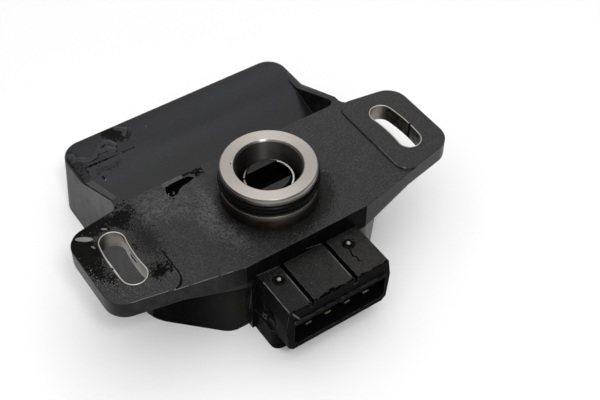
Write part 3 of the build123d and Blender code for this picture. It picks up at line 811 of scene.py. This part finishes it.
def housing_damage():
    """The broken edges of the plug, the chip, the pit, the crease and the cracks, as shapes to cut away."""
    bm = bmesh.new()
    for number, (low, high) in enumerate(block_edges):
        edge_wedge(bm, low, high, seed=3.1 + number)
    gouge(bm, chip_outline, top=0.6, bottom=-1.9, shrink=0.7, shift=(0.0, 0.25))
    gouge(bm, pit_outline, top=-6.0, bottom=-8.9, shrink=0.6)
    gouge(bm, crease_outline, top=-6.3, bottom=-7.7, shrink=0.98)
    slit(bm, crack_path, 0.16, block_top + 0.5, block_top - 0.5)
    slit(bm, step_path, 0.07, block_top + 0.5, block_top - 0.3)
    return bm


def wall_kind(face):
    """Which lit or shaded copy of the housing plastic a face gets: its wall kind's name, or None for the
    flange.
    """
    normal, centre = face.normal, face.center / MM
    on_plug = centre.y < block_rear
    if normal.z > 0.5:
        if normal.y > 0.3:
            return "rib" if centre.x < 0 else None
        if on_plug:
            return "plug"
        return "lobe" if centre.y > flange_rear else None
    ahead = normal.y < -0.35
    if ahead and centre.x > 14:
        return ("edge" if normal.x < 0.45 else "side") if centre.z > flange_under else None
    plug_side = on_plug and normal.x < -0.35
    return "low" if plug_side or (ahead and centre.z < flange_under) else "side"


housing = soft_edges("housing", 0.28, housing_plastic("housing_plastic", 1.38),
                     housing_damage())
# Lit and shaded copies of the housing plastic: each wall kind gets its own IOR, so that walls shine more or
# less by the way they face, painted light and shade
wall_iors = (("side", 1.2), ("low", 1.05), ("edge", 1.27), ("plug", 1.25), ("lobe", 1.35), ("rib", 1.6))
for kind, ior in wall_iors:
    paint_faces(housing, housing_plastic(kind + "_plastic", ior),
                lambda f: f.material_index == 0 and wall_kind(f) == kind)

# Dirt, painted shade and a painted highlight on the flange, the left ear and the plug. Each function gives a
# film's height, or BARE for none
BARE = -1.0
slot_caps = [heading(180 - end) * slot_arc for end in slot_ends]
grease_patches = ((1.15, -41.2, 7.0, 3.6, 6.5), (1.1, -37.2, 11.6, 6.2, 2.6), (0.9, -31.0, 11.0, 4.2, 2.2),
                  (0.75, -41.3, 0.6, 2.4, 4.2))
smear_patches = ((0.95, -29.8, 10.6, 4.2, 3.8), (0.75, -31.2, -6.0, 3.2, 3.0), (0.6, -39.8, -3.0, 2.8, 4.2))
pad_patches = ((0.75, -28.6, 2.6, 3.2, 7.2),)
tail_path = ((-13.6, 14.7), (-11.2, 14.3), (-9.2, 14.1))
seam_sides = ((-0.4, 0.0), (-0.3, 0.3), (-0.3, -0.3))


def past_slot(x, y):
    """Distance outside the left bush."""
    turn = math.degrees(math.atan2(y, -x))
    if slot_ends[0] < turn < slot_ends[1]:
        return abs(math.hypot(x, y) - slot_arc) - slot_half
    return min((Vector((x, y)) - cap).length for cap in slot_caps) - slot_half


def ear_grease(x, y):
    """Black grease behind and outside the left slot."""
    if past_slot(x, y) < 0.12:
        return BARE
    share = patches(x, y, grease_patches) - 0.15
    return 0.06 * (share + 0.3 * rough_at(x, y, 0.4, 1.7) + 0.7 * rough_at(x, y, 2.9, 5.1, 2))


def ear_smear(x, y):
    """Thin dirt with streaks behind the slot and on the pad round it."""
    if past_slot(x, y) < 0.1:
        return BARE
    share = patches(x, y, smear_patches) - 0.3
    streak = rough_at(x * 0.35 + y * 0.9, x * 0.9 - y * 0.35, 0.5, 9.3)
    return 0.03 * (share + 0.5 * streak + 0.8 * rough_at(x, y, 3.1, 2.2, 2))


def foot_grease_and_shade(x, y):
    """Grease caught on the flange round the collar's foot, with painted shade and reflection of the collar
    there.
    """
    share = (11.2 - math.hypot(x - 0.6, y + 0.4)) / 0.9
    return 0.05 * (share + 0.25 * rough_at(x, y, 0.35, 4.4) + 0.8 * rough_at(x, y, 3.1, 6.6, 2))


def foot_haze_and_shade(x, y):
    """The thin outer part of that grease and painted shade."""
    share = (12.7 - math.hypot(x - 1.2, y + 0.6)) / 2.4
    return 0.03 * (share + 0.3 * rough_at(x, y, 0.35, 4.4) + 1.5 * rough_at(x, y, 3.3, 8.3, 2))


def pad_haze(x, y):
    """A thin stain on the pad between the slot and its inner edge."""
    if past_slot(x, y) < 0.3:
        return BARE
    return 0.02 * (patches(x, y, pad_patches) + 1.5 * rough_at(x, y, 3.7, 7.9, 2))


def chip_tail(x, y):
    """Dirt that trails from the chip along the flange's rear edge."""
    if x < -11.3 and y < 14.35:
        return BARE
    return 0.04 * (0.95 - near(x, y, tail_path) / 0.85 + 0.8 * rough_at(x, y, 2.7, 3.3, 2))


def edge_wear_and_highlight(x, y):
    """A pale worn line along the flange's front edge beside the left ear, also a painted highlight."""
    beyond = ground(x, y - 0.22)
    if beyond is not None and beyond > -1.0:
        return BARE
    return 0.012 * (fade(x, -16.0, -24.0) - 0.35 + 1.6 * rough_at(x, y, 1.1, 5.7, 3))


def pad_step_shade(x, y):
    """A dark line in the step beside the left pad, painted shade."""
    here = ground(x, y)
    beside = [ground(x + dx, y + dy) for dx, dy in seam_sides]
    if here is None or None in beside or here > flange_top + 0.1 or max(beside) < flange_top + 0.2:
        return BARE
    return 0.07 + 0.06 * rough_at(x, y, 0.8, 3.9) - 0.1 * fade(y, -3.5, 0.5)


def pip_dark_ring(x, y):
    """A black ring round the plug's two pips."""
    far = min(math.hypot(x - px, y - py - 0.1) for px, py in pips)
    return 0.03 * (1.0 - abs(far - 0.95) / 0.5 + 0.7 * rough_at(x, y, 1.7, 4.9, 2))


black_grease_and_shade = grime("black_grease_and_shade", (0.0022, 0.0022, 0.0022), (0.006, 0.0056, 0.0045), 0.5)
thin_grease_and_shade = grime("thin_grease_and_shade", (0.0045, 0.0044, 0.004), (0.0085, 0.0078, 0.006), 0.55)
haze_and_shade = grime("grease_haze_and_shade", (0.006, 0.006, 0.0058), (0.01, 0.0096, 0.0085), 0.5, 1.25)
film(ear_grease, (-43.0, -5.0), (-26.5, 14.6), 0.13, black_grease_and_shade)
film(ear_smear, (-42.9, -9.6), (-25.6, 14.6), 0.14, thin_grease_and_shade)
film(foot_grease_and_shade, (-13.0, -13.0), (13.0, 13.0), 0.13, thin_grease_and_shade)
film(foot_haze_and_shade, (-15.0, -15.0), (17.5, 15.0), 0.14, haze_and_shade)
film(pad_haze, (-32.6, -5.2), (-25.0, 9.8), 0.14, haze_and_shade)
film(chip_tail, (-14.6, 13.0), (-8.0, 15.0), 0.12, black_grease_and_shade)
film(pip_dark_ring, (-11.6, -20.2), (10.4, -16.4), 0.11, black_grease_and_shade, block_top - 0.5)
film(pad_step_shade, (-30.5, -12.6), (-26.6, 1.0), 0.1, black_grease_and_shade)

# Wet drops on the grease, pale as painted highlights, each by its centre, two radii and turn
deposit_and_highlight = pale_deposit_and_highlight()
drops = ((-39.48, 9.94, 1.87, 0.66, -33.9), (-34.71, 10.15, 0.64, 0.24, -40.0),
         (-38.88, 6.85, 0.65, 0.22, -65.0))


def ear_drop_highlights(x, y):
    """The domes of the drops, raised above the grease, which their pale colour paints as highlights."""
    best = 0.0
    for cx, cy, long, short, turn in drops:
        way, off = heading(turn), Vector((x - cx, y - cy))
        u = off.dot(way) / long
        v = way.cross(off) / short
        best = max(best, 0.14 * (1 - u * u - v * v))
    return best + 0.06 if best > 0 else BARE


film(edge_wear_and_highlight, (-39.5, -15.1), (-15.0, -9.4), 0.1, deposit_and_highlight)
film(ear_drop_highlights, (-41.6, 6.4), (-33.9, 11.6), 0.09, deposit_and_highlight)


# Lumps and grit on the pads, the flange and the lobe; the pale crumbs at the chip and in the lobe's pit are
# painted glints
def scatter(name, mat, seed, groups):
    """Small lumps strewn round places: each group is a centre, its spread, a count and the largest size."""
    lowest, slot_gap, collar_reach = -13, 0.15, 11
    rng = random.Random(seed)
    bm = bmesh.new()
    for cx, cy, sx, sy, count, size in groups:
        for _ in range(count):
            x = rng.gauss(cx, sx)
            y = rng.gauss(cy, sy)
            grain = size * rng.uniform(0.35, 1.0)
            z = ground(x, y)
            clear = past_slot(x, y) > slot_gap and math.hypot(x, y) > collar_reach
            if z is not None and z > lowest and clear:
                crumb(bm, (x, y, z + grain * 0.25), grain, rng)
    link_piece(name, bm, mat, smooth=False)


crumb_black = grime("crumb_black", (0.003, 0.003, 0.003), (0.007, 0.0068, 0.006), 0.65)
scatter("ear_crumbs", crumb_black, 11, (
    (-30.2, -6.6, 0.8, 0.7, 46, 0.36), (-28.8, -5.4, 0.7, 0.5, 26, 0.26), (-31.6, 2.4, 0.25, 0.9, 14, 0.22),
    (-9.8, 13.4, 0.7, 0.5, 16, 0.24), (-18.4, 10.4, 0.4, 0.4, 10, 0.2), (-29.5, 14.6, 1.2, 0.5, 30, 0.26)))
scatter("pale_grit_and_glints", deposit_and_highlight, 23, (
    (-42.2, 0.5, 0.35, 3.0, 34, 0.11), (-40.6, -4.4, 1.2, 1.6, 60, 0.1), (-35.0, -7.6, 3.2, 1.2, 70, 0.09),
    (-36.5, 10.9, 1.6, 0.6, 18, 0.09), (-24.0, 0.0, 4.0, 4.0, 26, 0.08), (-10.5, 14.0, 0.7, 0.5, 10, 0.13),
    (-16.0, -11.0, 4.5, 1.6, 40, 0.08), (0.0, -13.6, 6.0, 0.7, 44, 0.08), (20.0, -2.0, 6.0, 5.0, 26, 0.07),
    (-18.5, 10.2, 0.3, 0.3, 6, 0.14), (-18.4, 11.4, 0.25, 0.2, 5, 0.13), (-17.2, 11.3, 0.2, 0.15, 4, 0.12),
    (-25.1, 29.7, 0.12, 0.1, 3, 0.2), (-9.4, 39.0, 0.3, 0.2, 4, 0.14), (28.6, -10.7, 0.1, 0.1, 3, 0.18)))

# The scraped skin and the dirt on the lobe's left rear corner, with painted shadow below the folds
flake_paths = (
    ((-21.6, 39.3), (-20.1, 39.9), (-18.9, 39.2), (-18.5, 37.6)),
    ((-24.6, 36.9), (-22.6, 37.9), (-21.3, 37.5)), ((-21.3, 37.5), (-20.4, 37.6), (-19.2, 36.3)),
    ((-27.4, 38.1), (-26.2, 36.9), (-25.2, 36.6), (-23.9, 36.7)),
    ((-29.4, 40.4), (-28.3, 39.6), (-28.6, 38.2)), ((-15.6, 42.4), (-13.9, 40.9), (-14.8, 39.6)))
crease_patches = ((0.6, -22.8, 32.4, 5.6, 2.6), (0.7, -29.0, 35.6, 2.6, 6.0))
bead_start, bead_count, bead_pitch, bead_y = -18.0, 6, 0.55, 34.5
lip_path = ((-18.0, 14.45), (-15.6, 14.6), (-13.6, 14.6))


def lobe_skin(x, y):
    """Soft folds of the peeled skin."""
    fold = max(math.exp(-(near(x, y, path) / 0.6) ** 2) for path in flake_paths)
    return 0.1 * fold - 0.02


def lobe_dirt_and_shadow(x, y):
    """Painted shadow below the folds, and dirt: cracks in the left rim, a smudge at the rear edge and beads
    past the crease.
    """
    speck = rough_at(x, y, 3.0, 6.1, 2)
    under = max(0.55 - near(x - 0.25, y + 0.6, path) / 0.5 for path in flake_paths)
    rim = fade(1.0 - oval(x, y, -29.4, 36.4, 2.4, 6.6), 0.0, 0.3)
    cracks = rim * (0.5 - abs(rough_at(x, y, 0.75, 7.7, 3)) / 0.22)
    rear = 0.9 - oval(x + 0.35 * (y - 41.2), y, -16.6, 41.2, 2.6, 3.0)
    beads = 0.5 - math.hypot((x - bead_start) % bead_pitch - bead_pitch / 2, y - bead_y) / 0.3
    beads = beads if bead_start < x < bead_start + bead_count * bead_pitch else BARE
    return 0.03 * max(under + 0.2 * speck, cracks, rear + 0.7 * speck, beads)


def crease_haze(x, y):
    """A faint stain below the crease and on the left rim."""
    share = patches(x, y, crease_patches) - 0.35
    return 0.02 * (share + 1.7 * rough_at(x, y, 4.3, 2.6, 2) + 0.5 * rough_at(x, y, 0.6, 1.1))


def rim_dirt(x, y):
    """A dark line along the left rib's outer edge, and crackled dirt on the lobe's left rim."""
    rib = 1.0 - near(x, y, rib_edge) / 0.36 + 0.4 * rough_at(x, y, 1.4, 2.9, 2)
    rim = 0.9 - near(x, y, rim_edge) / 0.6 + 0.9 * rough_at(x, y, 2.2, 6.4, 3)
    return 0.03 * max(rib, rim)


def rim_ground(x, y):
    """The height of the left rib and the lobe, or None past their outer edge."""
    here, inside = ground(x, y), ground(x + 0.2, y)
    return None if None in (here, inside) or here < inside - 0.1 else here


def chip_lip(x, y):
    """The flake that stands up along the chip's rear edge."""
    return 0.32 * (1 - near(x, y, lip_path) / 0.55) + 0.05 * rough_at(x, y, 1.6, 8.8)


skin = housing_plastic("scraped_skin", 1.4, 0.0)
flake = grime("flake", (0.05, 0.05, 0.05), (0.075, 0.075, 0.075), 0.4, 1.4)
film(lobe_skin, (-31.4, 30.0), (-12.5, 44.4), 0.16, skin, lobe_low)
film(crease_haze, (-31.4, 29.6), (-17.0, 42.0), 0.15, haze_and_shade, lobe_low)
film(rim_dirt, (-30.5, 16.8), (-29.0, 41.2), 0.08, black_grease_and_shade, lobe_low, rim_ground)
film(lobe_dirt_and_shadow, (-31.4, 29.6), (-12.4, 44.6), 0.14, thin_grease_and_shade, lobe_low)
film(chip_lip, (-18.9, 13.8), (-12.6, 15.05), 0.08, flake)


# Metal and rubber pieces
def slit_cut():
    """The short slit in the left bush's inner wall, which follows the wall's curve."""
    bm = bmesh.new()
    wall = slot_arc - slot_half + bush_wall
    corners = ((2.6, -1.8), (-0.2, -1.3), (-0.2, -2.05), (2.6, -2.5))
    rings = []
    for r in (wall + 0.3, wall - 0.4):
        rings.append([bm.verts.new((-math.sqrt(r * r - y * y), y, z)) for y, z in corners])
    bridge(bm, rings)
    return bm


def pit_cut():
    """The small casting pit in the collar's face."""
    bm = bmesh.new()
    outline = [Vector(pit_place) + heading(turn) * pit_radius for turn in pit_turns]
    gouge(bm, outline, top=8.6, bottom=8.1, shrink=0.5)
    return bm


steel = collar_steel("collar_steel", 0.3, 0.7)
collar = stand_in("bearing_collar", collar_shape(), steel, pit_cut())
# The bore's walls get a darker copy of the collar steel, painted shade
bore_reach = (collar_profile[0][0] + 0.05) * MM
paint_faces(collar, collar_steel("bore_steel_shaded", 0.35, 0.95, 0.7),
            lambda f: f.center.xy.length < bore_reach and abs(f.normal.z) < 0.5)


def bush_frame(node):
    """The lower and upper corner of a bush, and its side of the part."""
    low, high = [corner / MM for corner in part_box(node)]
    return low, high, -1 if high.x < 0 else 1


def bush_strip(node):
    """A bush as one bent strip, open at its seam."""
    low, high, side = bush_frame(node)
    first, last = slot_ends
    wall_steps, end_steps = 36, 24
    stations = []
    runs = ((seam_turn + seam_half, last, False), (last, first, True), (first, seam_turn - seam_half, False))
    for start, end, inward in runs:
        for k in range(wall_steps + 1):
            way = heading(start + (end - start) * k / wall_steps)
            stations.append((way * slot_arc, -way if inward else way))
        if end in slot_ends:
            centre = way * slot_arc
            for k in range(1, end_steps):
                stations.append((centre, heading(end + 180 * k / end_steps + (180 if inward else 0))))
    inner, soft = slot_half - bush_wall, 0.06
    section = ((inner + soft, high.z), (slot_half - soft, high.z), (slot_half, high.z - soft),
               (slot_half, low.z), (inner, low.z), (inner, high.z - soft))
    bm = bmesh.new()
    rings = []
    for centre, way in stations:
        places = [(centre + way * out, z) for out, z in section]
        rings.append([bm.verts.new((side * q.x * MM, q.y * MM, z * MM)) for q, z in places])
    bridge(bm, rings)
    bmesh.ops.recalc_face_normals(bm, faces=bm.faces[:])
    return bm


bushes = ("slot_bush_left", "slot_bush_right")
strip = bush_steel()
for node, cuts in zip(bushes, (slit_cut(), None)):
    stand_in(node, bush_strip(node), strip, cuts)


def seam_dirt():
    """Black dirt that fills the gap between each bush's ends."""
    lap, proud = 0.08, 0.015
    bm = bmesh.new()
    for node in bushes:
        low, high, side = bush_frame(node)
        levels = (low.z + 0.05, high.z + proud)
        corners = []
        for turn in (seam_turn - seam_half - lap, seam_turn + seam_half + lap):
            for out in (slot_half - bush_wall - proud, slot_half):
                q = heading(turn) * (slot_arc + out)
                corners += [bm.verts.new((side * q.x * MM, q.y * MM, z * MM)) for z in levels]
        bmesh.ops.convex_hull(bm, input=corners)
    link_piece("seam_dirt", bm, black_grease_and_shade, smooth=False)


seam_dirt()
steel_tones = ((0.82, 0.8, 0.77), (0.5, 0.46, 0.41))
spring = bright_steel("spring_steel", *steel_tones, 0.24)
clip = bright_steel("clip_steel", *steel_tones, 0.45, oiled=True)
soft_edges("drive_clip", 0.06, clip)
rotor = soft_edges("rotor", 0.12, rotor_plastic())
# The rotor's faces below its jaw tops get that near-black plastic, painted shade in the drive slot
paint_faces(rotor, shade_plastic(), lambda f: f.center.z < (jaw_top - 0.15) * MM)
tin = terminal_metal()
for number in range(1, 5):
    soft_edges(f"terminal_{number}", 0.08, tin)


def smooth_ring():
    """The sealing ring as a true torus with a faint mould line."""
    section = (ring_high.z - ring_low.z) / 2
    middle = ring_high.x - section
    height = (ring_high.z + ring_low.z) / 2
    around, across = 176, 36
    mould_line, spare = 0.025, 0.01
    bm = bmesh.new()
    rings = []
    for i in range(around):
        way = heading(360 * i / around)
        ring = []
        for j in range(across):
            thick = section + (mould_line if j in (0, across // 2) else 0.0) - spare
            out = heading(360 * j / across) * thick
            r = middle + out.x
            ring.append(bm.verts.new((r * way.x * MM, r * way.y * MM, (height + out.y) * MM)))
        rings.append(ring)
    bridge(bm, rings, closed=True)
    return bm


ring = link_piece("o_ring_look", smooth_ring(), rubber("ring_rubber", 0.22))
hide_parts("o_ring")


def dress(mat, *names):
    """Gives nodes that keep their own mesh a material."""
    for n in names:
        nodes[n].data.materials.clear()
        nodes[n].data.materials.append(mat)


dress(rubber("seal_rubber", 0.42), "shaft_seal", "cover_seal")
dress(spring, "push_nut", "spring_washer", "thrust_washer")
dress(bright_steel("arm_steel", (0.62, 0.61, 0.58), (0.45, 0.43, 0.39), 0.32, (1.0, 8.0, 8.0)), "wiper_arm")
dress(bright_steel("brush_copper", (0.8, 0.52, 0.33), (0.55, 0.33, 0.19), 0.28), "wiper_brush")
dress(track_ceramic(), "track_plate")
soft_edges("back_cover", 0.2, cover_plastic())


# Floor, light and camera, in metres
def floor_white():
    """Plain white that glows a little where a ray sees it straight, in a mirror or through glass."""
    mat = bpy.data.materials.new("floor_white")
    mat.use_nodes = True
    t = Tree(mat.node_tree)
    t.tree.nodes.clear()
    rays = t.node("LightPath").outputs
    seen = t.most(t.most(rays["Is Camera Ray"], rays["Is Glossy Ray"]), rays["Is Transmission Ray"])
    diffuse = t.node("BsdfDiffuse", Color=(0.92, 0.92, 0.92))
    glow = t.node("Emission", Strength=t.mul(seen, 0.08))
    both = t.node("AddShader")
    t.put(both.inputs[0], diffuse.outputs[0])
    t.put(both.inputs[1], glow.outputs[0])
    t.node("OutputMaterial", Surface=both.outputs[0])
    return mat


base_z = cad_box[0][2]
floor_half = 1.5
floor_corners = [(x * floor_half, y * floor_half, base_z) for x, y in ((-1, -1), (1, -1), (1, 1), (-1, 1))]
mesh = bpy.data.meshes.new("floor")
mesh.from_pydata(floor_corners, [], [(0, 1, 2, 3)])
floor = add_object("floor", mesh)
mesh.materials.append(floor_white())


def studio_sky():
    """A white sky, brightest high behind the part and dimmer towards both sides of the picture."""
    world = bpy.data.worlds.new("studio")
    bpy.context.scene.world = world
    world.use_nodes = True
    t = Tree(world.node_tree)
    background = t.tree.nodes["Background"]
    t.put(background.inputs["Color"], (1.0, 1.0, 1.0))
    way = t.node("TexCoord").outputs["Generated"]
    high = t.vector("DOT_PRODUCT", way, Vector((-0.1, 0.5, 0.86)).normalized())
    aside = t.math("ABSOLUTE", t.vector("DOT_PRODUCT", way, (0.82, -0.573, 0.0)))
    strength = t.mul(t.step(high, 0.0, 0.8, 0.2, 0.95), t.step(aside, 0.15, 0.6, 1.0, 0.35))
    t.put(background.inputs["Strength"], strength)


def area_light(name, place, aim, size, power):
    data = bpy.data.lights.new(name, "AREA")
    data.shape = "RECTANGLE"
    data.size, data.size_y = size
    data.energy = power
    lamp = add_object(name, data)
    lamp.location = place
    lamp.rotation_euler = (Vector(aim) - Vector(place)).to_track_quat("-Z", "Y").to_euler()


studio_sky()
area_light("key", place=(-0.06, -0.09, 0.95), aim=(0.0, 0.0, -0.01), size=(1.3, 1.3), power=4.8)
area_light("rim", place=(0.482, 0.689, 0.322), aim=(0.0, 0.0, 0.0), size=(0.3, 0.2), power=0.25)
area_light("front", place=(-0.10, -0.45, 0.655), aim=(0.0, 0.0, 0.0), size=(0.13, 0.13), power=1.7)

# The camera stands at the photograph's place: turned from the Y axis, tilted down and rolled a little
camera_place = (-0.0920851, -0.1433269, 0.1829772)
camera_turn, camera_tilt, camera_roll = [math.radians(a) for a in (34.978006, 47.477773, 0.866978)]
camera_data = bpy.data.cameras.new("camera")
camera_data.sensor_width = 36.0
camera_data.lens = 69.325
camera_data.clip_start = 0.01
camera = add_object("camera", camera_data)
camera.matrix_world = (Matrix.Translation(camera_place) @ Matrix.Rotation(-camera_turn, 4, "Z")
                       @ Matrix.Rotation(math.pi / 2 - camera_tilt, 4, "X")
                       @ Matrix.Rotation(camera_roll, 4, "Z"))
bpy.context.scene.camera = camera
bpy.context.scene.view_settings.view_transform = "Standard"
